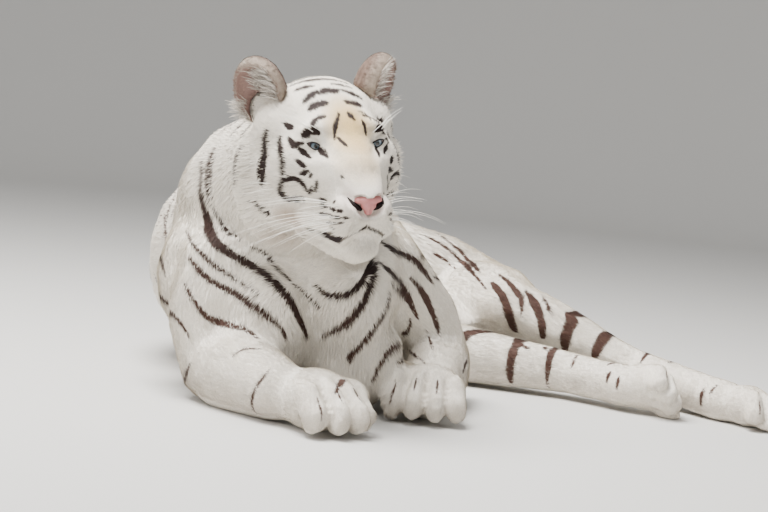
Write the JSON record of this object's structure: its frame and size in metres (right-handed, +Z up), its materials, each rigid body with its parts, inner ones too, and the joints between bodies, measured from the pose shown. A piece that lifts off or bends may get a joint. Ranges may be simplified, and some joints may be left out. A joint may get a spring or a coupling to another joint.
{
  "type": "tiger figure",
  "caption": "Life-size still figure of a white tiger lying with its head up, forelegs out in front and both hind legs stretched to its left.",
  "frame": {"origin": "on the floor, under the middle of the bounding box", "axes": "+Z up, the chest faces -Y, the animal's left and its hind feet lie to +X"},
  "size_m": [1.1784, 1.4376, 0.591],
  "materials": {
    "coat": "short white fur with chocolate-brown stripes",
    "ear_skin": "short fur, greyish brown with a pale spot behind",
    "nose_skin": "damp pink nose leather",
    "eye": "polished blue-grey eye"
  },
  "bodies": {
    "root": {"head": "coat", "lower_jaw": "coat", "nose": "nose_skin", "eye_right": "eye", "eye_left": "eye", "ear_right": "ear_skin", "ear_left": "ear_skin", "neck": "coat", "chest": "coat", "loins": "coat", "rump": "coat", "upper_arm_right": "coat", "upper_arm_left": "coat", "forearm_right": "coat", "forearm_left": "coat", "forepaw_right": "coat", "forepaw_left": "coat", "thigh_right": "coat", "thigh_left": "coat", "shin_right": "coat", "shin_left": "coat", "hind_foot_right": "coat", "hind_foot_left": "coat", "tail_root": "coat", "tail_middle": "coat", "tail_tip": "coat"}
  },
  "joints": []
}
